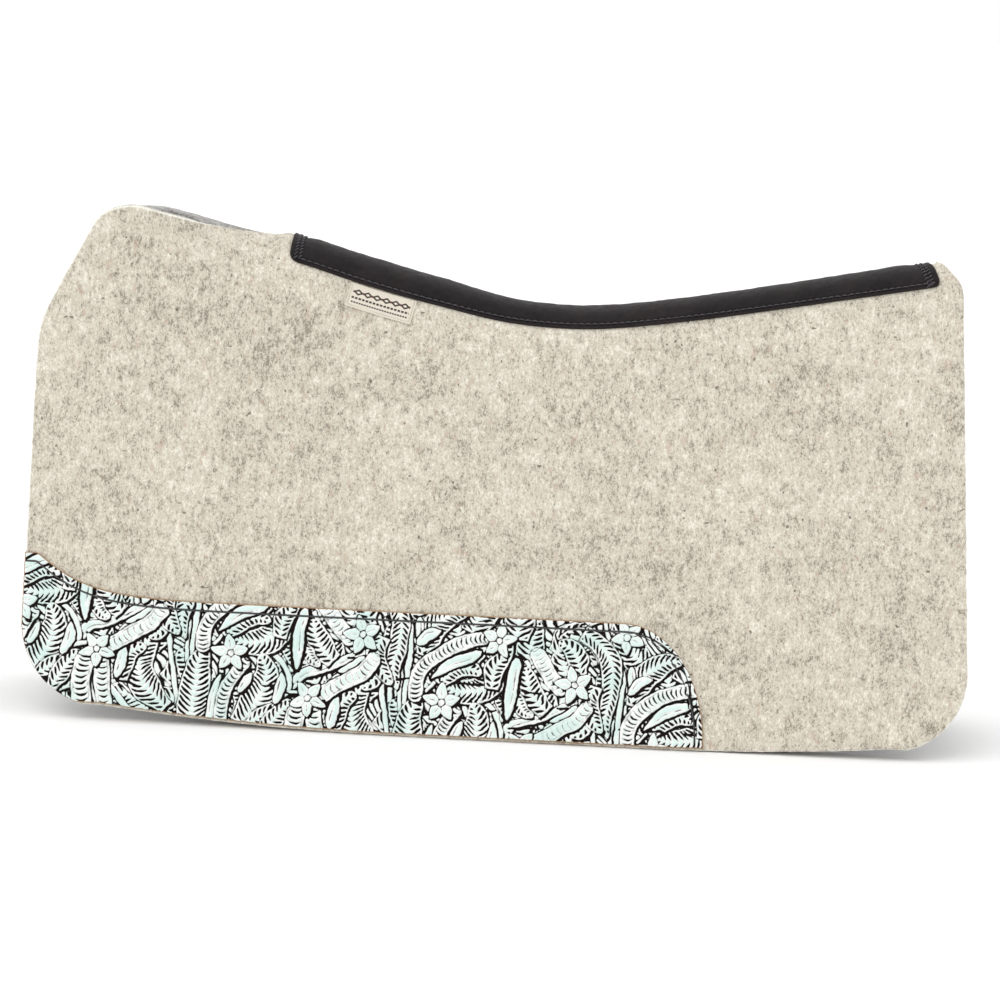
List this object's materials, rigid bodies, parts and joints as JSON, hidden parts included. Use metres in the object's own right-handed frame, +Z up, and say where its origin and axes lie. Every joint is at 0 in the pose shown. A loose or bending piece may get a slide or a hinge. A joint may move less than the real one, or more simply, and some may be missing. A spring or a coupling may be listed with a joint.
{
  "type": "saddle pad",
  "caption": "Contoured western saddle pad: two thick felt panels joined along a dipped spine, with a leather spine strip and tooled wear leathers.",
  "frame": {"origin": "Centre of the bounding box's lower face, on the floor that the pad's two lower edges stand on, midway between its panels.", "axes": "+X lengthwise towards the rear, so the horse would face -X; +Y towards its right (off) side; +Z up. -Y is the left (near) side."},
  "size_m": [0.7649, 0.189, 0.4074],
  "materials": {
    "felt": "pressed wool felt, fuzzy and flecked",
    "spine_leather": "smooth black leather, satin",
    "wear_leather": "tooled leather, pale mint over black recesses, satin",
    "black_thread": "waxed sewing thread",
    "natural_thread": "sewing thread",
    "label_cloth": "woven label cloth"
  },
  "bodies": {
    "spine": {"spine_leather": "spine_leather", "spine_seam_thread": "natural_thread", "spine_seam_under_thread": "natural_thread", "spine_tack_front": "black_thread", "spine_tack_rear": "black_thread", "spine_stitch_left": "black_thread", "spine_stitch_right": "black_thread"},
    "left_flap": {"felt_panel_left": "felt", "spine_bobbin_left": "black_thread", "wear_leather_left": "wear_leather", "wear_stitch_left": "black_thread", "wear_bobbin_left": "black_thread", "woven_label": "label_cloth", "label_stitch": "natural_thread"},
    "right_flap": {"felt_panel_right": "felt", "spine_bobbin_right": "black_thread", "wear_leather_right": "wear_leather", "wear_stitch_right": "black_thread", "wear_bobbin_right": "black_thread"}
  },
  "joints": [
    {"name": "left_fold", "type": "hinge", "parent": "spine", "child": "left_flap", "pos_m": [0, 0, 0.352], "axis": [-1, 0, 0], "range_deg": [0, 30], "deforming": ["felt_panel_left", "spine_leather", "spine_stitch_left", "spine_bobbin_left", "spine_tack_front", "spine_tack_rear"]},
    {"name": "right_fold", "type": "hinge", "parent": "spine", "child": "right_flap", "pos_m": [0, 0, 0.352], "axis": [1, 0, 0], "range_deg": [0, 30], "deforming": ["felt_panel_right", "spine_leather", "spine_stitch_right", "spine_bobbin_right", "spine_tack_front", "spine_tack_rear"]}
  ]
}
